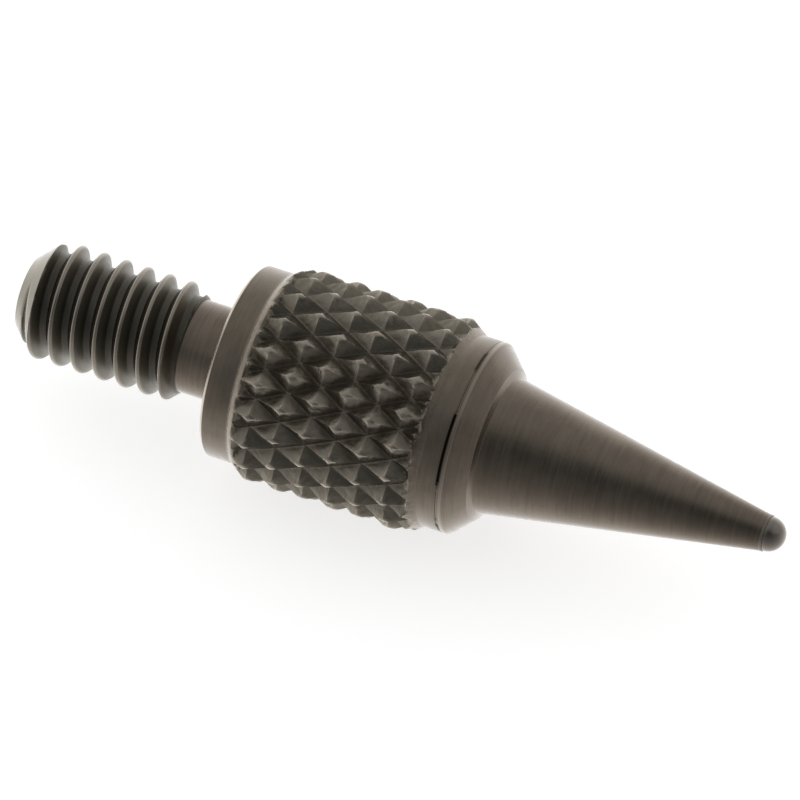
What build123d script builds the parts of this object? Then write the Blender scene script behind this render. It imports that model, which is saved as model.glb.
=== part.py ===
"""Tapered contact point with a No. 4-48 stud, for a dial or drop indicator.

Four pieces: a turned stem (stud, neck, shank, flange and taper), a knurled
finger sleeve pressed over the shank, a hard ball in the small end of the taper
and the braze that holds it.

Frame: millimetres. The part lies on its side with its axis along X, the ball at
+X and the stud at -X. The sleeve's rear face, which seats on the spindle, is the
plane x = 0.
"""

import os
from math import asin, cos, pi, radians, sin, sqrt, tan

from build123d import *

# ---- stud: No. 4-48 UNF-2A external thread, right-hand
threads_per_inch = 48
thread_diameter = 2.72
thread_root_diameter = 2.19
thread_crest_flat = 0.066
thread_flank_angle = 30
thread_lead_in = 0.13       # crest at the start of the helix, behind the stud's end
stud_length = 5.02          # rear face of the sleeve to the end of the stud
stud_end_diameter = 1.70    # flat left by the 45 degree lead chamfer
neck_length = 1.05          # plain relief between the thread and the sleeve
neck_diameter = 2.14

# ---- sleeve: plain bands, press bore and its edges
sleeve_length = 5.64
band_diameter = 4.41        # plain band at each end of the knurl
shank_diameter = 3.00       # larger than the thread, so the sleeve passes over it
rear_band = 0.66
front_band = 0.46
rear_edge_break = 0.07
seam_edge_break = 0.03      # each side of the joint between sleeve and flange
bore_lead = 0.15
shank_recess = 0.05         # the shank stops short of x = 0, so only the sleeve seats

# ---- diamond knurl
knurl_diameter = 4.97
knurl_depth = 0.29
knurl_left_grooves = 20     # one knurling wheel tracks a groove more than the other
knurl_right_grooves = 19
knurl_pitch = 1.33          # along the sleeve, between grooves of one hand
knurl_end_bevel = 35
knurl_groove_share = 0.07   # part of a diamond's cell left as groove floor
knurl_crest_share = 0.12    # a diamond's flat top, as a share of its base
knurl_run_out = 0.20        # the grooves start this far up the swell at each end

# ---- flange and taper in front of the sleeve
rim_width = 0.10
flange_bevel = 0.45         # 45 degree bevel
flange_face_axial = 0.07    # steeper face between the bevel and the taper
taper_root_diameter = 3.12
taper_length = 6.36         # taper root to the centre of the ball

# ---- ball and its braze
ball_diameter = 0.794       # 1/32 inch
braze_gap = 0.03

# ---- how far an added ridge starts below the surface it stands on
sink = 0.04

# ---- sizes that follow from the ones above
thread_pitch = 25.4 / threads_per_inch
thread_radius = thread_diameter / 2
thread_root = thread_root_diameter / 2
neck_radius = neck_diameter / 2
band_radius = band_diameter / 2
shank_radius = shank_diameter / 2
knurl_radius = knurl_diameter / 2
knurl_floor = knurl_radius - knurl_depth
knurl_end = sleeve_length - front_band
rim_end = sleeve_length + rim_width
bevel_end = rim_end + flange_bevel
taper_start = bevel_end + flange_face_axial
taper_root = taper_root_diameter / 2
ball_radius = ball_diameter / 2
ball_centre = taper_start + taper_length
cup_radius = ball_radius + braze_gap

# The taper's line is tangent to the ball.
root_to_ball = sqrt(taper_length**2 + taper_root**2)
taper_angle = asin(taper_root / root_to_ball) - asin(ball_radius / root_to_ball)

# The cup's lip is where its sphere comes out through the taper, and the braze
# ends just behind the ball's widest point.
lip_back = sqrt(cup_radius**2 - ball_radius**2)
lip = ball_centre + ball_radius * sin(taper_angle) - lip_back * cos(taper_angle)
braze_front = ball_centre - braze_gap / 2

# Turned faces have their seam here, clear of the start of the thread's helix.
seam_plane = Plane.XY.rotated((160, 0, 0))


def taper_radius(x):
    """Radius of the taper's cone at x."""
    return taper_root - (x - taper_start) * tan(taper_angle)


def flank_run(height):
    """How far a thread flank moves along the axis over this height."""
    return height * tan(radians(thread_flank_angle))


# ---- thread: one helical ridge, cut to the stud's lead chamfer and run-out
with BuildPart() as thread:
    lead_in = thread_pitch + thread_lead_in
    with BuildLine() as helix:
        Helix(
            pitch=thread_pitch,
            height=lead_in + stud_length - neck_length + thread_pitch,
            radius=thread_root,
            center=(-stud_length - lead_in, 0, 0),
            direction=(1, 0, 0),
        )
    start = helix.line @ 0
    ridge_height = thread_radius - thread_root
    crest_half = thread_crest_flat / 2
    sunk_half = crest_half + flank_run(ridge_height + sink)
    with BuildSketch(Plane(start, x_dir=(0, start.Y, start.Z), z_dir=helix.line % 0)):
        with BuildLine():
            Polyline(
                (-sink, -sunk_half),
                (ridge_height, -crest_half),
                (ridge_height, crest_half),
                (-sink, sunk_half),
                close=True,
            )
        make_face()
    sweep(path=helix.line, is_frenet=True)
    # The cones of the chamfer and the run-out go on past the crest.
    past_crest = thread_radius + thread_pitch
    with BuildSketch(Plane.XY):
        with BuildLine():
            Polyline(
                (-stud_length, 0),
                (-stud_length, stud_end_diameter / 2),
                (-stud_length + past_crest - stud_end_diameter / 2, past_crest),
                (-neck_length - past_crest + neck_radius, past_crest),
                (-neck_length, neck_radius),
                (-neck_length, 0),
                close=True,
            )
        make_face()
    revolve(axis=Axis.X, mode=Mode.INTERSECT)

# ---- stem: turned in one piece, with a round cup in its small end
with BuildPart() as stem:
    with BuildSketch(seam_plane):
        with BuildLine():
            Polyline(
                (ball_centre - cup_radius, 0),
                (-stud_length, 0),
                (-stud_length, stud_end_diameter / 2),
                (-stud_length + thread_root - stud_end_diameter / 2, thread_root),
                (-neck_length - thread_root + neck_radius, thread_root),
                (-neck_length, neck_radius),
                (shank_recess, neck_radius),
                (shank_recess, shank_radius - seam_edge_break),
                (shank_recess + seam_edge_break, shank_radius),
                (sleeve_length, shank_radius),
                (sleeve_length, band_radius - seam_edge_break),
                (sleeve_length + seam_edge_break, band_radius),
                (rim_end, band_radius),
                (bevel_end, band_radius - flange_bevel),
                (taper_start, taper_root),
                (lip, taper_radius(lip)),
            )
            RadiusArc(
                (lip, taper_radius(lip)), (ball_centre - cup_radius, 0), -cup_radius
            )
        make_face()
    revolve(axis=Axis.X)
    add(thread.part)

# ---- knurl: raised diamonds, one column of them at each place round the sleeve
places = knurl_left_grooves + knurl_right_grooves
diamond_base = knurl_floor - sink
half_along = knurl_pitch / 2 * (1 - knurl_groove_share)
half_around = diamond_base * tan(2 * pi / places) * (1 - knurl_groove_share)

with BuildPart() as diamond:
    for height, share in ((diamond_base, 1), (knurl_radius, knurl_crest_share)):
        with BuildSketch(Plane.XY.offset(height)):
            with BuildLine():
                Polyline(
                    (half_along * share, 0),
                    (0, half_around * share),
                    (-half_along * share, 0),
                    (0, -half_around * share),
                    close=True,
                )
            make_face()
    loft(ruled=True)

diamonds = []
for place in range(places):
    # Where the two hands of groove cross moves along by this share of a pitch.
    along = place * knurl_right_grooves / places % 1
    turned = diamond.part.rotate(Axis.X, 360 / places * place)
    for row in range(-1, int((knurl_end - rear_band) / knurl_pitch) + 2):
        x = rear_band + knurl_pitch * (row + along)
        diamonds.append(turned.translate((x, 0, 0)))

bevel_slope = tan(radians(knurl_end_bevel))
bevel_axial = knurl_depth / bevel_slope

with BuildPart() as knurl:
    add(diamonds)
    with BuildSketch(Plane.XY):
        with BuildLine():
            Polyline(
                (rear_band, 0),
                (rear_band, knurl_floor),
                (rear_band + bevel_axial, knurl_radius),
                (knurl_end - bevel_axial, knurl_radius),
                (knurl_end, knurl_floor),
                (knurl_end, 0),
                close=True,
            )
        make_face()
    revolve(axis=Axis.X, mode=Mode.INTERSECT)

# ---- knurled sleeve, whose bands swell a little before the first grooves
swell_radius = band_radius + knurl_run_out * bevel_slope - sink

with BuildPart() as knurled_sleeve:
    with BuildSketch(Plane.XY):
        with BuildLine():
            Polyline(
                (0, shank_radius),
                (0, band_radius - rear_edge_break),
                (rear_edge_break, band_radius),
                (rear_band, band_radius),
                (rear_band + knurl_run_out, swell_radius),
                (rear_band + 2 * knurl_run_out, knurl_floor),
                (knurl_end - 2 * knurl_run_out, knurl_floor),
                (knurl_end - knurl_run_out, swell_radius),
                (knurl_end, band_radius),
                (sleeve_length - seam_edge_break, band_radius),
                (sleeve_length, band_radius - seam_edge_break),
                (sleeve_length, shank_radius + bore_lead),
                (sleeve_length - bore_lead, shank_radius),
                close=True,
            )
        make_face()
    revolve(axis=Axis.X)
    add(knurl.part)

# ---- ball
with BuildPart() as ball_tip:
    with Locations((ball_centre, 0, 0)):
        Sphere(ball_radius, rotation=(0, 90, 0))

# ---- braze: fills the cup round the back of the ball
ball_at_front = sqrt(ball_radius**2 - (braze_front - ball_centre) ** 2)

with BuildPart() as braze_joint:
    with BuildSketch(Plane.XY):
        with BuildLine():
            RadiusArc(
                (lip, taper_radius(lip)), (ball_centre - cup_radius, 0), -cup_radius
            )
            Line((ball_centre - cup_radius, 0), (ball_centre - ball_radius, 0))
            RadiusArc(
                (ball_centre - ball_radius, 0), (braze_front, ball_at_front), ball_radius
            )
            Polyline(
                (braze_front, ball_at_front),
                (braze_front, taper_radius(braze_front)),
                (lip, taper_radius(lip)),
            )
        make_face()
    revolve(axis=Axis.X)

# ---- one file for each piece
os.makedirs("parts", exist_ok=True)
pieces = {
    "stem": stem,
    "knurled_sleeve": knurled_sleeve,
    "ball_tip": ball_tip,
    "braze_joint": braze_joint,
}
for name, piece in pieces.items():
    piece.part.label = name
    export_step(piece.part, f"parts/{name}.step")
    print(name, "volume", round(piece.part.volume, 4), "mm3")
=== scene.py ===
# %% Load the packed part
from math import atan2, cos, hypot, pi, radians, sin, sqrt, tan
import bmesh
import bpy
from mathutils import Matrix, Vector, noise


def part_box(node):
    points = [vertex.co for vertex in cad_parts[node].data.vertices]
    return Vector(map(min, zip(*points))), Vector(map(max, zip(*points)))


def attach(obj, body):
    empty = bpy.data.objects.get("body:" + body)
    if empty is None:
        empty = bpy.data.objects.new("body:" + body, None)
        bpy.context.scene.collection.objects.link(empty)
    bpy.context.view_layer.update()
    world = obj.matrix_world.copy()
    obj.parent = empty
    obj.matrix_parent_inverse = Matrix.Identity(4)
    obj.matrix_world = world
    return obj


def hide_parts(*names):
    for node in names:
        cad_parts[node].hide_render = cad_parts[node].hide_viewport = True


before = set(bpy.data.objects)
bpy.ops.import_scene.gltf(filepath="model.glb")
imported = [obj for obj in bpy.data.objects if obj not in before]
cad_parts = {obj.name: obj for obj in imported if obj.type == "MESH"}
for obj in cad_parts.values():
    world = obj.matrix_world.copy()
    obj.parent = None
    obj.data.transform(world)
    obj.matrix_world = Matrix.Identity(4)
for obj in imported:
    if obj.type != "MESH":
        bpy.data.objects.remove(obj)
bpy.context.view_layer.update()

# %% [markdown]
# What is on the bench. This is the contact point of a dial indicator: a stem with a fine
# thread at one end and a slim taper at the other, a knurled finger sleeve pressed over
# the stem's shank, and a tiny hard ball brazed into the end of the taper. It lies on its
# side along X with the ball at +X, and x = 0 is the sleeve's rear face. The packed part
# gives the places of the four pieces. Its meshes are coarse, so each piece is made again
# here, finer, in the same place. Everything is modelled in millimetres and made metres at
# the end, because some of Blender's limits for near-zero lengths are about a micrometre.

# %% Sizes that the packed part gives
MM = 0.001


def extent(node):
    """The low and high corners of a piece, in millimetres."""
    low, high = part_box(node)
    return low / MM, high / MM


stem_low, stem_high = extent("stem")
sleeve_high = extent("knurled_sleeve")[1]
ball_low, ball_high = extent("ball_tip")
braze_high = extent("braze_joint")[1]
stud_end = stem_low.x
sleeve_end = sleeve_high.x
band_radius = stem_high.z
knurl_radius = sleeve_high.z
ball_radius = (ball_high.x - ball_low.x) / 2
ball_centre = (ball_high.x + ball_low.x) / 2
print("stud ends at", round(stud_end, 3), "sleeve ends at", round(sleeve_end, 3),
      "ball", round(2 * ball_radius, 3), "mm at", round(ball_centre, 3))

# %% [markdown]
# A turned profile. A lathe leaves every corner with a small radius, and that radius is
# what catches the light along an edge. A spin of a sharp profile would need its edges
# bevelled afterwards, ring by ring. It's simpler to round the profile's own corners with
# a vertex bevel while it's still a chain of edges, and read the rounded chain back.

# %% Round the corners of a profile
def rounded(corners, softness, segments=3):
    """A chain of (x, radius) corners, each inner corner made a small arc."""
    chain = bmesh.new()
    verts = [chain.verts.new((x, r, 0)) for x, r in corners]
    for here, after in zip(verts, verts[1:]):
        chain.edges.new((here, after))
    first = verts[0].co.copy()
    bmesh.ops.bevel(chain, geom=verts[1:-1], offset=softness, segments=segments, profile=0.5,
                    affect="VERTICES", clamp_overlap=True, material=-1)
    at = min(chain.verts, key=lambda v: (v.co - first).length)
    walked, came = [], None
    while at is not None:
        walked.append((at.co.x, at.co.y))
        onward = [e for e in at.link_edges if e is not came]
        came = onward[0] if onward else None
        at = came.other_vert(at) if came else None
    chain.free()
    return walked


print("a square corner becomes", len(rounded([(0, 0), (0, 1), (1, 1)], 0.1)), "points")


# %% Draw a ring of edges along a profile
def ring_at(metal, x):
    """The open edges of the mesh that lie at x."""
    return [e for e in metal.edges
            if e.is_boundary and all(abs(v.co.x - x) < 1e-4 for v in e.verts)]


def draw_along(metal, ring, profile):
    """Extrudes a ring of edges through (x, radius) stations."""
    for x, r in profile:
        r = max(r, 1e-6)
        made = bmesh.ops.extrude_edge_only(metal, edges=ring)["geom"]
        ring = [e for e in made if isinstance(e, bmesh.types.BMEdge) and e.is_boundary]
        for v in {v for e in ring for v in e.verts}:
            size = hypot(v.co.y, v.co.z)
            v.co = (x, v.co.y / size * r, v.co.z / size * r)


# %% [markdown]
# Finishing a mesh. The poles where a profile meets the axis are many points in one place,
# so they are merged. A spin can come out inside out, so the normals are worked out again
# after that. Faces are smooth, and edges of more than 35 degrees stay sharp.

# %% Turn a bmesh into a finished piece
def finished(metal, name, node):
    """A closed piece in metres that stands for a CAD node."""
    bmesh.ops.remove_doubles(metal, verts=metal.verts, dist=2e-5)
    bmesh.ops.dissolve_degenerate(metal, edges=metal.edges, dist=1e-6)
    bmesh.ops.recalc_face_normals(metal, faces=metal.faces)
    for face in metal.faces:
        face.smooth = True
    for edge in metal.edges:
        edge.smooth = edge.calc_face_angle(0) < radians(35)
    bmesh.ops.scale(metal, vec=(MM, MM, MM), verts=metal.verts)
    open_edges = sum(1 for e in metal.edges if not e.is_manifold)
    mesh = bpy.data.meshes.new(name)
    metal.to_mesh(mesh)
    metal.free()
    mesh.calc_loop_triangles()
    piece = bpy.data.objects.new(name, mesh)
    bpy.context.scene.collection.objects.link(piece)
    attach(piece, "root")
    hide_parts(node)
    print(name, len(mesh.loop_triangles), "triangles,", open_edges, "open edges")
    return piece


# %% [markdown]
# The thread. It's a No. 4-48 thread, cut with a 60 degree tool. A screw modifier would
# make the ridge, but its ends would need cutting with a boolean. Here one pitch of the
# profile is spun once round and moved along by a pitch at the same time. Copies of that
# turn are set one pitch apart, and each one's edge is merged with the next one's. Two
# planes cut the ends square, and every point that stands outside the lead chamfer or the
# run-out is brought in to those cones.

# %% Spin the thread
pitch = 25.4 / 48
thread_radius = 1.36
thread_root = 1.095
crest_half = 0.033                # half a crest's flat
neck_start = -1.05
neck_radius = 1.07
stud_end_radius = 0.85
thread_softness = 0.022
crest_at = stud_end - 0.13        # a crest's middle, on the +Z side
steps_a_turn = 144

flank = (thread_radius - thread_root) * tan(radians(30))
low_x = crest_at - 2.5 * pitch
ridge = rounded([
    (low_x, thread_root),
    (low_x + pitch / 2 - crest_half - flank, thread_root),
    (low_x + pitch / 2 - crest_half, thread_radius),
    (low_x + pitch / 2 + crest_half, thread_radius),
    (low_x + pitch / 2 + crest_half + flank, thread_root),
    (low_x + pitch, thread_root),
], thread_softness)

stem_metal = bmesh.new()
chain = [stem_metal.verts.new((x, 0, r)) for x, r in ridge]
for here, after in zip(chain, chain[1:]):
    stem_metal.edges.new((here, after))
long_edges = [e for e in stem_metal.edges if e.calc_length() > 0.06]
bmesh.ops.subdivide_edges(stem_metal, edges=long_edges, cuts=4)
bmesh.ops.spin(stem_metal, geom=stem_metal.verts[:] + stem_metal.edges[:], cent=(0, 0, 0),
               axis=(1, 0, 0), dvec=(pitch / steps_a_turn, 0, 0), angle=2 * pi, steps=steps_a_turn)
one_turn = stem_metal.verts[:] + stem_metal.edges[:] + stem_metal.faces[:]
turns = int((neck_start - low_x) / pitch) + 2
for number in range(1, turns):
    copied = bmesh.ops.duplicate(stem_metal, geom=one_turn)["geom"]
    bmesh.ops.translate(stem_metal, vec=(pitch * number, 0, 0),
                        verts=[v for v in copied if isinstance(v, bmesh.types.BMVert)])
bmesh.ops.remove_doubles(stem_metal, verts=stem_metal.verts, dist=2e-3)
for at, outward in ((stud_end, -1), (neck_start, 1)):
    bmesh.ops.bisect_plane(
        stem_metal, geom=stem_metal.verts[:] + stem_metal.edges[:] + stem_metal.faces[:],
        dist=1e-6, plane_co=(at, 0, 0), plane_no=(outward, 0, 0), clear_outer=True)
for v in stem_metal.verts:
    size = hypot(v.co.y, v.co.z)
    limit = min(stud_end_radius + v.co.x - stud_end, neck_radius + neck_start - v.co.x)
    if size > limit:
        v.co = (v.co.x, v.co.y / size * limit, v.co.z / size * limit)
print("thread:", turns, "turns,", len(stem_metal.faces), "faces")

# %% [markdown]
# The rest of the stem. Neck, shank, flange, bevels and taper are one bar, so they grow
# from the open ring at the end of the thread: the ring is extruded through the profile's
# stations, and ends as a point at the bottom of the cup that the ball sits in.

# %% Draw the stem from the neck to the cup
shank_radius = 1.50
shank_recess = 0.05               # the shank stops short of the sleeve's rear face
flange_bevel = 0.45
edge_break = 0.012
rim_end = sleeve_end + 0.10
bevel_end = rim_end + flange_bevel
taper_start = bevel_end + 0.07
taper_root = 1.56
root_station = 0.3                # one more station on the taper, this far from its root
cup_radius = ball_radius + 0.03


def cup_arc(radius, from_x, count=10):
    """Stations on a sphere round the ball's centre, from from_x back to the axis."""
    angle = atan2(sqrt(radius**2 - (from_x - ball_centre) ** 2), from_x - ball_centre)
    arc = [angle + (pi - angle) * i / count for i in range(count + 1)]
    return [(ball_centre + radius * cos(a), radius * sin(a)) for a in arc]


lip_x = stem_high.x
lip_radius = sqrt(cup_radius**2 - (lip_x - ball_centre) ** 2)
narrowing = (lip_radius - taper_root) / (lip_x - taper_start)
turned = rounded([
    (neck_start, neck_radius),
    (neck_start + 0.03, neck_radius),
    (shank_recess, neck_radius),
    (shank_recess, shank_radius),
    (sleeve_end, shank_radius),
    (sleeve_end, band_radius - edge_break),
    (sleeve_end + edge_break, band_radius),
    (rim_end, band_radius),
    (bevel_end, band_radius - flange_bevel),
    (taper_start, taper_root),
    (taper_start + root_station, taper_root + narrowing * root_station),
    (lip_x, lip_radius),
], edge_break)
draw_along(stem_metal, ring_at(stem_metal, neck_start),
           turned[1:] + cup_arc(cup_radius, lip_x)[1:])
draw_along(stem_metal, ring_at(stem_metal, stud_end), [(stud_end, 0.8), (stud_end, 0)])
stem = finished(stem_metal, "stem_turned", "stem")

# %% [markdown]
# The knurl. Two wheels with slanted teeth press their grooves into the sleeve, one hand
# with 20 grooves round it and the other with 19, and the metal left between them stands
# up as rows of small pyramids. Bump can't change an outline, and these pyramids show on
# it, so they are real. A flat sheet is gridded along the two hands of groove, so that
# every groove and every pyramid's edge falls on a line of points, and it's then cut to
# length, raised, and wrapped round.

# %% Grid the sheet along the grooves
left_grooves = 20
right_grooves = 19
places = left_grooves + right_grooves
knurl_pitch = 1.33
knurl_start = 0.66
knurl_end = sleeve_end - 0.46
full_height = 0.29
knurl_floor = knurl_radius - full_height
knurl_turn = 0.25                 # the first pyramid stands on the +Z side
cuts_a_pyramid = 14

sheet = bmesh.new()
u_cells, v_cells = left_grooves + 5, right_grooves + 5
bmesh.ops.create_grid(sheet, x_segments=u_cells * cuts_a_pyramid,
                      y_segments=v_cells * cuts_a_pyramid, size=0.5)
bmesh.ops.translate(sheet, vec=(0.5, 0.5, 0), verts=sheet.verts)
bmesh.ops.scale(sheet, vec=(u_cells, v_cells, 1), verts=sheet.verts)
bmesh.ops.translate(sheet, vec=(-1, -right_grooves - 1, 0), verts=sheet.verts)
# From counts of grooves (u, v) to millimetres along and turns round.
along = Vector((right_grooves, left_grooves, 0)) * (knurl_pitch / places)
round_axis = Vector((1, -1, 0)) / places
bmesh.ops.transform(sheet, matrix=Matrix((along, round_axis, (0, 0, 1))).to_4x4(),
                    verts=sheet.verts)
knurl_length = knurl_end - knurl_start
for at, outward in (((0, 0, 0), (-1, 0, 0)), ((knurl_length, 0, 0), (1, 0, 0)),
                    ((0, 0, 0), (0, -1, 0)), ((0, 1, 0), (0, 1, 0))):
    bmesh.ops.bisect_plane(sheet, geom=sheet.verts[:] + sheet.edges[:] + sheet.faces[:],
                           dist=1e-7, plane_co=at, plane_no=outward, clear_outer=True)
bmesh.ops.poke(sheet, faces=sheet.faces)
print("knurl sheet:", len(sheet.faces), "faces")

# %% [markdown]
# Raising the pyramids. The height at a point is how far it is from the nearest groove,
# up to a small worn top. A pressed knurl is never perfect: tops differ a little in
# height, and the metal is squeezed up unevenly, so slow noise moves the surface by a
# few hundredths of a millimetre. The wheels don't reach the ends of the knurl: there
# the metal only swells into a smooth slope, and the grooves start a little way up it.

# %% Raise the pyramids and wrap the sheet
end_slope = tan(radians(35))


def soft_step(value, low, high):
    """0 below low, 1 above high and smooth between."""
    share = min(max((value - low) / (high - low), 0), 1)
    return share * share * (3 - 2 * share)


def raised(x, turn):
    """Height above the groove floor, x mm from the pattern's start."""
    u = x / knurl_pitch + left_grooves * turn
    v = x / knurl_pitch - right_grooves * turn
    share = 2 * max(abs(u - round(u)), abs(v - round(v)))
    return max(0.96 - share, 0) / 0.84 * full_height


for v in sheet.verts:
    x, turn = v.co.x, v.co.y
    angle = 2 * pi * (turn + knurl_turn)
    spot = Vector((x, knurl_radius * cos(angle), knurl_radius * sin(angle)))
    height = raised(x, turn)
    height += 0.035 * noise.noise(spot * 2.3) * soft_step(height, 0.02, 0.2)
    height += 0.012 * noise.noise(spot * 9) * soft_step(height, 0.0, 0.1)
    top = full_height - 0.028 + 0.022 * noise.noise(spot * 1.7 + Vector((7, 0, 0)))
    height = min(height, top + 0.25 * max(height - top, 0))
    from_end = min(x, knurl_length - x)
    ends = band_radius - knurl_floor + from_end * end_slope
    grooved = soft_step(from_end + 0.05 * noise.noise(spot * 3), 0.13, 0.32)
    height = max(min(height, ends, full_height - 0.001), ends * (1 - grooved), 0)
    r = knurl_floor + height
    v.co = (x + knurl_start, r * cos(angle), r * sin(angle))
bmesh.ops.remove_doubles(sheet, verts=sheet.verts, dist=2e-5)

# %% [markdown]
# The sleeve's plain parts. The bands, the chamfered edges and the press bore are drawn
# from the knurl's rear edge right through the bore to the front band, and the last ring
# is bridged to the knurl's front edge. That leaves one closed skin.

# %% Draw the bands and the bore
rear_edge_break = 0.07
bore_lead = 0.15
sleeve_profile = rounded([
    (knurl_start, band_radius),
    (knurl_start - 0.03, band_radius),
    (rear_edge_break, band_radius),
    (0, band_radius - rear_edge_break),
    (0, shank_radius),
    (sleeve_end - bore_lead, shank_radius),
    (sleeve_end, shank_radius + bore_lead),
    (sleeve_end, band_radius - edge_break),
    (sleeve_end - edge_break, band_radius),
    (knurl_end, band_radius),
], 0.014)
draw_along(sheet, ring_at(sheet, knurl_start), sleeve_profile[1:])
every_open = [e for e in sheet.edges if e.is_boundary]
bmesh.ops.bridge_loops(sheet, edges=every_open)
sleeve = finished(sheet, "sleeve_knurled", "knurled_sleeve")

# %% [markdown]
# The ball and its braze. The ball is a bought part, a 1/32 inch hard ball, so a finely
# divided sphere is the whole of it. The braze is what fills the thin gap between ball
# and cup: its section is two arcs and a narrow front face, spun round the axis.

# %% Make the ball
ball_metal = bmesh.new()
bmesh.ops.create_uvsphere(ball_metal, u_segments=72, v_segments=48, radius=ball_radius)
bmesh.ops.rotate(ball_metal, cent=(0, 0, 0), matrix=Matrix.Rotation(pi / 2, 3, "Y"),
                 verts=ball_metal.verts)
bmesh.ops.translate(ball_metal, vec=(ball_centre, 0, 0), verts=ball_metal.verts)
ball = finished(ball_metal, "ball_hard", "ball_tip")

# %% Spin the braze
front_x = braze_high.x
film_clearance = 0.0005
front_radius = lip_radius + (front_x - lip_x) * (taper_root - lip_radius) / (lip_x - taper_start)
skin = cup_arc(cup_radius - film_clearance, lip_x)[::-1]
outer = [(front_x, min(front_radius, lip_radius) - 0.001)]
inner = cup_arc(ball_radius + film_clearance, front_x)
section = skin + outer + inner
braze_metal = bmesh.new()
chain = [braze_metal.verts.new((x, max(r, 0), 0)) for x, r in section]
for here, after in zip(chain, chain[1:]):
    braze_metal.edges.new((here, after))
bmesh.ops.spin(braze_metal, geom=braze_metal.verts[:] + braze_metal.edges[:], cent=(0, 0, 0),
               axis=(1, 0, 0), angle=2 * pi, steps=96, use_merge=True)
braze = finished(braze_metal, "braze_ring", "braze_joint")

# %% [markdown]
# Writing finishes as sums. A finish is worked out by small nodes, and a long chain of
# them is hard to follow. This class holds one socket, and its operators add the Math
# nodes, so a mask of wear and painted highlight can be written as a line of arithmetic.
# Colours and vectors have their own methods, because a Math node would turn a colour grey.

# %% A socket with operators
class Reading:
    """One value, colour or vector on its way through a finish."""

    def __init__(self, bench, socket):
        self.bench = bench
        self.socket = socket

    def sum(self, operation, first, second=0.0):
        """One Math node."""
        return self.bench.add("ShaderNodeMath", {"operation": operation}, {0: first, 1: second})

    def __add__(self, other):
        return self.sum("ADD", self, other)

    def __sub__(self, other):
        return self.sum("SUBTRACT", self, other)

    def __rsub__(self, other):
        return self.sum("SUBTRACT", other, self)

    def __mul__(self, other):
        return self.sum("MULTIPLY", self, other)

    def __truediv__(self, other):
        return self.sum("DIVIDE", self, other)

    __radd__ = __add__
    __rmul__ = __mul__

    def power(self, other):
        return self.sum("POWER", self, other)

    def larger(self, other):
        return self.sum("MAXIMUM", self, other)

    def smaller(self, other):
        return self.sum("MINIMUM", self, other)

    def size(self):
        return self.sum("ABSOLUTE", self)

    def step(self, low, high):
        """0 below low, 1 above high and smooth between, or the other way round."""
        return self.bench.add("ShaderNodeMapRange", {"interpolation_type": "SMOOTHSTEP"},
                              {"Value": self, "From Min": low, "From Max": high})

    def band(self, low, high, soft):
        """1 between low and high, fading over soft at each side."""
        return self.step(low - soft, low) * self.step(high + soft, high)


class Bench:
    """The node tree of one finish."""

    def __init__(self, tree):
        self.tree = tree

    def add(self, kind, settings, inputs, output=0):
        """One node: its settings first, then the values or links of its sockets."""
        node = self.tree.nodes.new(kind)
        for name, value in settings.items():
            setattr(node, name, value)
        for name, value in inputs.items():
            if isinstance(value, Reading):
                self.tree.links.new(value.socket, node.inputs[name])
            else:
                node.inputs[name].default_value = value
        return Reading(self, node.outputs[output]) if len(node.outputs) else None

    def blend(self, share, first, second):
        """A colour between two."""
        return self.add("ShaderNodeMix", {"data_type": "RGBA"}, {0: share, 6: first, 7: second}, 2)

    def grain(self, place, scale, detail=3.0, rough=0.55):
        """Noise about 0.5 at a place."""
        return self.add("ShaderNodeTexNoise", {}, {"Vector": place, "Scale": scale,
                                                   "Detail": detail, "Roughness": rough})

    def stretched(self, place, scale):
        """A place multiplied axis by axis."""
        return self.add("ShaderNodeVectorMath", {"operation": "MULTIPLY"}, {0: place, 1: scale})


print("a reading has", len([n for n in vars(Reading) if n.startswith("__r")]), "reflected forms")

# %% [markdown]
# Steel as this part shows it. It's a hardened, oiled grey-brown steel, far darker than
# plain steel, with fine rings left by grinding. The rings are noise that is squeezed
# along X and stays nearly the same round the axis. The real rings are shallow, so they
# show more in how rough the metal is than in its outline. Each finish then adds its own:
# thread crests painted bright as wear and painted highlight, dirt in the knurl, or a dark
# parting line.

# %% The shared recipe for ground steel
def ground_steel(name, dark, light, roughness, ring_depth, ring_scale):
    """A metal with grinding rings round X, and the readings that finishes build on."""
    material = bpy.data.materials.new(name)
    material.use_nodes = True
    tree = material.node_tree
    tree.nodes.clear()
    bench = Bench(tree)
    place = bench.add("ShaderNodeTexCoord", {}, {}, "Object")
    in_mm = bench.stretched(place, (1000, 1000, 1000))
    split = bench.add("ShaderNodeSeparateXYZ", {}, {0: in_mm}).socket.node
    x, y, z = (Reading(bench, socket) for socket in split.outputs)
    r = (y * y + z * z).power(0.5)
    turn = bench.add("ShaderNodeMath", {"operation": "ARCTAN2"}, {0: z, 1: y}) * (180 / pi)
    rings = bench.grain(bench.stretched(in_mm, (ring_scale, 0.35, 0.35)), 1.0, 4.0, 0.7)
    arcs = bench.grain(bench.stretched(in_mm, (ring_scale * 0.55, 1.6, 1.6)), 1.0, 3.0, 0.6)
    blotches = bench.grain(in_mm, 1.3, 4.0, 0.6)
    fine = bench.grain(in_mm, 22.0, 2.0, 0.5)
    tone = rings * 0.36 + arcs * 0.26 + blotches * 0.38
    colour = bench.blend(tone.step(0.32, 0.68), dark, light)
    rough = roughness + (arcs - 0.5) * 0.16 + (rings - 0.5) * 0.2 + (blotches - 0.5) * 0.12
    height = rings * 0.6 + arcs * 0.3 + fine * 0.12
    bump = bench.add("ShaderNodeBump", {}, {"Strength": ring_depth, "Distance": 0.000006,
                                            "Height": height})
    return material, bench, {"x": x, "r": r, "turn": turn, "place": in_mm, "colour": colour,
                             "rough": rough, "bump": bump, "blotches": blotches, "fine": fine}


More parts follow.
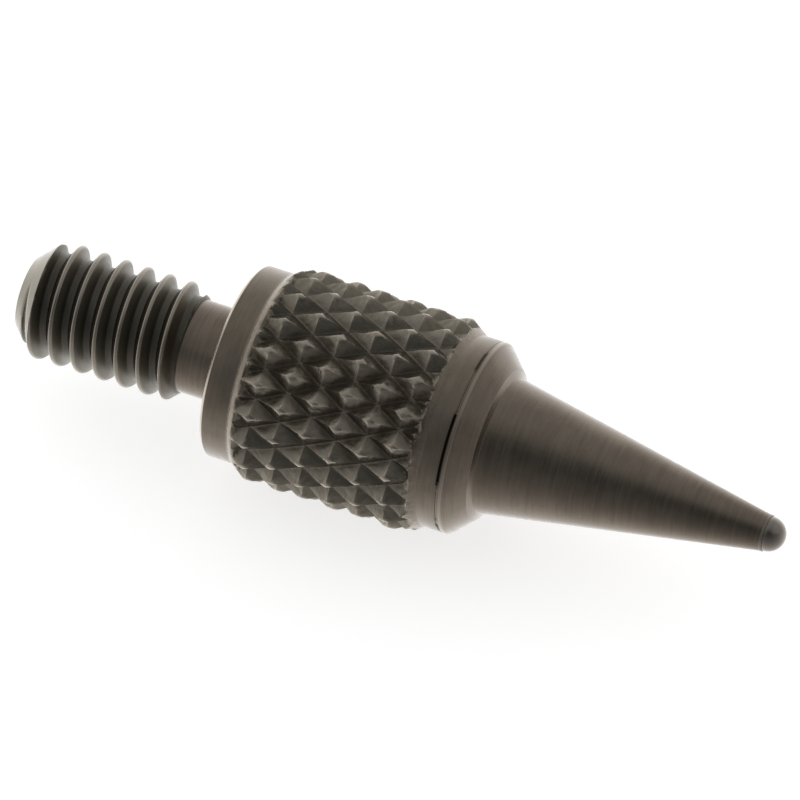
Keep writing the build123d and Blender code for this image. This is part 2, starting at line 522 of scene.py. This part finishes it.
def finish_metal(material, bench, colour, rough, bump):
    """Ends a finish in a metal shader and the material's output, and prints its size."""
    shader = bench.add("ShaderNodeBsdfPrincipled", {}, {"Base Color": colour, "Metallic": 1.0,
                                                        "Roughness": rough, "Normal": bump})
    bench.add("ShaderNodeOutputMaterial", {}, {"Surface": shader})
    print(material.name, len(material.node_tree.nodes), "nodes")


def parting_line(at):
    """Where the line between sleeve and flange stands open, 0 to 1 round the part."""
    open_turn = at["turn"] + (at["fine"] - 0.5) * 10
    in_front = open_turn.band(119, 160, 3).larger(open_turn.band(72, 86, 4) * 0.7)
    elsewhere = (at["blotches"].step(0.52, 0.6) * open_turn.step(30, 20)
                 * open_turn.step(-175, -165))
    return in_front.larger(elsewhere)


# %% [markdown]
# The stem's finish. The thread's crests are painted bright, partly as wear from being
# screwed in and partly as a painted highlight, and the flanks keep their dark oxide. The
# lead chamfer and the edge of the flange's rim get a painted highlight as well. The taper
# was ground last, and its rings are the clearest on the part. The parting line by the
# flange is open in places and closed in others, so its dark line comes and goes round
# the part.

# %% Finish the stem
steel_dark = (0.160, 0.132, 0.106, 1)
steel_light = (0.226, 0.187, 0.151, 1)
# Bright colour for painted highlights on edges, and for worn crests and knurl tops that also carry
# a painted highlight.
edge_wear_and_highlight = (0.52, 0.46, 0.39, 1)
oxide = (0.030, 0.027, 0.022, 1)
thread_steel = (0.185, 0.170, 0.139, 1)
open_gap = (0.006, 0.005, 0.004, 1)

material, bench, at = ground_steel("stem_steel", steel_dark, steel_light, 0.27, 0.55, 16)
in_thread = at["x"].band(stud_end - 0.1, neck_start - 0.02, 0.04)
from_chamfer = at["x"] - stud_end + stud_end_radius - at["r"]
off_chamfer = from_chamfer.step(0.012, 0.03)
flanks = at["r"].step(thread_radius - 0.02, thread_radius - 0.07) * in_thread * off_chamfer
root = at["r"].step(thread_root + 0.03, thread_root) * in_thread
colour = bench.blend(in_thread, at["colour"], thread_steel)
colour = bench.blend(flanks * (0.02 + root * 0.45 + at["blotches"] * 0.3), colour, oxide)
# Painted highlight: the thread crests are painted bright, partly as wear and partly as highlight,
# and the lead chamfer gets a faint painted highlight.
crest = (at["r"].step(thread_radius - 0.035, thread_radius - 0.008) * in_thread * 0.55).larger(
    (1 - off_chamfer) * in_thread * 0.1)
# Painted highlight along the edge where the flange's rim meets its bevel.
lip_highlight = at["r"].step(band_radius - 0.035, band_radius - 0.012) * at["x"].band(
    rim_end - 0.03, rim_end + 0.03, 0.02)
# The crests' wear with its painted highlight, together with the rim's painted highlight.
stem_wear_and_highlight = (crest * (0.35 + at["blotches"] * 0.7)).larger(lip_highlight * 0.35)
colour = bench.blend(stem_wear_and_highlight.smaller(1.0), colour, edge_wear_and_highlight)
seam_x = at["x"].step(sleeve_end + 0.05, sleeve_end + 0.025)
seam = seam_x * parting_line(at) * at["r"].step(shank_radius, band_radius - 0.1)
colour = bench.blend(seam * 0.95, colour, open_gap)
rough = (at["rough"] + flanks * 0.14 + seam * 0.3).larger(0.12).smaller(0.8)
finish_metal(material, bench, colour, rough, at["bump"])
stem.data.materials.append(material)

# %% [markdown]
# The sleeve's finish. It is the same steel, a little greener and rougher on the bands.
# In the knurl the grooves hold oxide and old oil. The tops of the pyramids and the four
# arrises that run down from each are painted bright, partly as finger wear and partly as
# a painted highlight, and they make the small stars that the knurl shows. The same counts
# of grooves that shaped the sheet say where they are. The rear edge break and the swell at
# the knurl's start get a painted highlight.

# %% Finish the sleeve
def groove_offset(count):
    """How far a count of grooves is from a whole number, 0 to a half."""
    return (count - count.sum("ROUND", count)).size()


sleeve_dark = (0.158, 0.134, 0.107, 1)
sleeve_light = (0.236, 0.201, 0.160, 1)
pressed_steel = (0.230, 0.210, 0.170, 1)
material, bench, at = ground_steel("sleeve_steel", sleeve_dark, sleeve_light, 0.30, 0.5, 11)
in_knurl = at["x"].band(knurl_start + 0.03, knurl_end - 0.03, 0.02)
depth = (at["r"] - knurl_floor) / full_height
turns_round = at["turn"] / 360 - knurl_turn
pitches_along = (at["x"] - knurl_start) / knurl_pitch
from_left = groove_offset(pitches_along + turns_round * left_grooves)
from_right = groove_offset(pitches_along - turns_round * right_grooves)
share = from_left.larger(from_right) * 2
arris = (from_left - from_right).size().step(0.12, 0.02) * share.step(0.7, 0.2)
top = share.step(0.34, 0.12)
grooved = at["x"].band(knurl_start + 0.24, knurl_end - 0.24, 0.08)
colour = bench.blend(grooved * 0.7, at["colour"], pressed_steel)
pits = depth.step(0.8, 0.1) * grooved
colour = bench.blend(pits * at["blotches"] * 0.28, colour, oxide)
# Painted highlight with wear: the pyramids' tops and arrises are painted bright.
knurl_wear_and_highlight = ((arris * 0.6).larger(top) * in_knurl * depth.step(0.2, 0.7)
          * (0.1 + at["blotches"] * 0.75))
colour = bench.blend(knurl_wear_and_highlight.smaller(1.0), colour, edge_wear_and_highlight)
# Painted highlight on the sleeve's rear edge break.
rear_edge_highlight = at["x"].step(0.085, 0.06) * at["r"].step(band_radius - 0.09, band_radius - 0.06)
colour = bench.blend(rear_edge_highlight * 0.6, colour, edge_wear_and_highlight)
# Painted highlight on the swell where the knurl starts.
swell_highlight = at["x"].band(knurl_start, knurl_start + 0.12, 0.05) * at["r"].step(
    band_radius - 0.1, band_radius)
colour = bench.blend(swell_highlight * 0.18, colour, edge_wear_and_highlight)
seam_x = at["x"].step(sleeve_end - 0.05, sleeve_end - 0.025)
seam = seam_x * parting_line(at)
colour = bench.blend(seam * 0.95, colour, open_gap)
squeezed = bench.grain(at["place"], 7.0, 3.0, 0.6)
rough = (at["rough"] + pits * 0.12 + in_knurl * (squeezed - 0.5) * 0.2).larger(0.15).smaller(0.8)
dents = bench.add("ShaderNodeBump", {}, {"Strength": 0.45, "Distance": 0.00003,
                                         "Height": squeezed * in_knurl, "Normal": at["bump"]})
finish_metal(material, bench, colour, rough, dents)
sleeve.data.materials.append(material)

# %% [markdown]
# The ball and the braze. The ball is polished, so its rings and blotches are kept faint
# and it is the smoothest thing on the part. The braze is a thin line of slightly paler
# alloy, ground flush with the taper.

# %% Finish the ball and the braze
material, bench, at = ground_steel("ball_steel", (0.21, 0.19, 0.165, 1),
                                   (0.29, 0.262, 0.23, 1), 0.2, 0.12, 9)
rough = (0.17 + (at["blotches"] - 0.5) * 0.1 + (at["fine"] - 0.5) * 0.06).larger(0.08)
finish_metal(material, bench, at["colour"], rough, at["bump"])
ball.data.materials.append(material)

material, bench, at = ground_steel("braze_alloy", (0.16, 0.14, 0.115, 1),
                                   (0.27, 0.24, 0.20, 1), 0.36, 0.4, 14)
finish_metal(material, bench, at["colour"], at["rough"], at["bump"])
braze.data.materials.append(material)

# %% [markdown]
# Floor and light. A small bright part is usually shown in a light tent: white cloth all
# round, and a dark opening on the side that is looked from. That is why its middle is
# dark and its edges are light. The same tent is made here as a world whose brightness
# grows with the angle from one fixed direction. The floor is plain and pale. It's left
# out of the metal's reflections, so the tent reaches below the part as cloth would.

# %% Lay the floor
view_round = radians(22.96)
view_down = radians(50.4)
view_from = Vector((sin(view_round) * cos(view_down), -cos(view_round) * cos(view_down),
                    sin(view_down)))
floor_metal = bmesh.new()
bmesh.ops.create_grid(floor_metal, x_segments=1, y_segments=1, size=1.5)
bmesh.ops.translate(floor_metal, vec=(0.004, 0, -knurl_radius * MM), verts=floor_metal.verts)
floor_mesh = bpy.data.meshes.new("floor")
floor_metal.to_mesh(floor_mesh)
floor_metal.free()
floor = bpy.data.objects.new("floor", floor_mesh)
bpy.context.scene.collection.objects.link(floor)
material = bpy.data.materials.new("floor_paper")
material.use_nodes = True
material.node_tree.nodes.clear()
bench = Bench(material.node_tree)
paper = bench.add("ShaderNodeBsdfPrincipled", {}, {
    "Base Color": (0.86, 0.86, 0.86, 1), "Roughness": 0.9, "Specular IOR Level": 0.0,
    "Emission Color": (1, 1, 1, 1), "Emission Strength": 0.70})
bench.add("ShaderNodeOutputMaterial", {}, {"Surface": paper})
floor.data.materials.append(material)
floor.visible_glossy = False
print("floor at", round(-knurl_radius, 3), "mm")

# %% Light the tent
world = bpy.data.worlds.new("light_tent")
bpy.context.scene.world = world
world.use_nodes = True
world.node_tree.nodes.clear()
bench = Bench(world.node_tree)
direction = bench.add("ShaderNodeTexCoord", {}, {}, "Generated")
right = Vector((cos(view_round), sin(view_round), 0))
up = view_from.cross(right)


def share_of(way):
    """How far the tent's cloth lies towards a way, -1 to 1."""
    return bench.add("ShaderNodeVectorMath", {"operation": "DOT_PRODUCT"},
                     {0: direction, 1: way}, "Value")


def cloth(stops):
    """Brightness against the angle from the opening, straight between the stops."""
    value = stops[0][1]
    for (low, before), (high, after) in zip(stops, stops[1:]):
        climb = bench.add("ShaderNodeMapRange", {"clamp": True},
                          {"Value": angle, "From Min": low, "From Max": high})
        value = value + climb * (after - before)
    return value


towards_view = share_of(view_from)
angle = bench.add("ShaderNodeMath", {"operation": "ARCCOSINE"}, {0: towards_view}) * (180 / pi)
above = cloth([(0, 0.11), (9, 0.12), (17, 0.20), (33, 0.38), (53, 0.46), (90, 0.56),
               (110, 0.85), (125, 1.2), (160, 1.6)])
below = cloth([(0, 0.11), (16, 0.14), (33, 0.20), (53, 0.28), (72, 0.43), (96, 0.75),
               (110, 0.95), (125, 1.25), (160, 1.6)])
over = share_of(up).step(-0.12, 0.12)
behind = share_of(Vector((-1, 0, 0))).step(0.35, 0.9)
brightness = (above * over + below * (1 - over)) * (1 + behind * 0.35)
seen = bench.add("ShaderNodeLightPath", {}, {}, "Is Camera Ray")
strength = seen + (1 - seen) * brightness
tint = bench.blend(angle.step(8, 45), (0.93, 1.0, 1.0, 1), (1, 1, 1, 1))
tint = bench.blend(seen, tint, (1, 1, 1, 1))
sky = bench.add("ShaderNodeBackground", {}, {"Color": tint, "Strength": strength})
bench.add("ShaderNodeOutputWorld", {}, {"Surface": sky})
bpy.context.scene.view_settings.view_transform = "Standard"
print("tent lit, camera side at", [round(c, 3) for c in view_from])

# %% [markdown]
# The camera. A long lens from a quarter of a metre away keeps the part nearly free of
# perspective, as a close-up of so small a thing is. It looks down at 50 degrees from in
# front and a little to the ball's side.

# %% Place the camera
distance = 250 * MM
across_picture = 800 / 45.25 * MM
middle = right * (3.5765 * MM) - up * (0.8763 * MM)
lens = bpy.data.cameras.new("camera")
camera = bpy.data.objects.new("camera", lens)
bpy.context.scene.collection.objects.link(camera)
lens.sensor_width = 36
lens.lens = 36 * distance / across_picture
lens.clip_start = 0.001
standing = Matrix((right, up, view_from)).transposed().to_4x4()
standing.translation = middle + view_from * distance
camera.matrix_world = standing
bpy.context.scene.camera = camera
print("lens", round(lens.lens, 1), "mm")
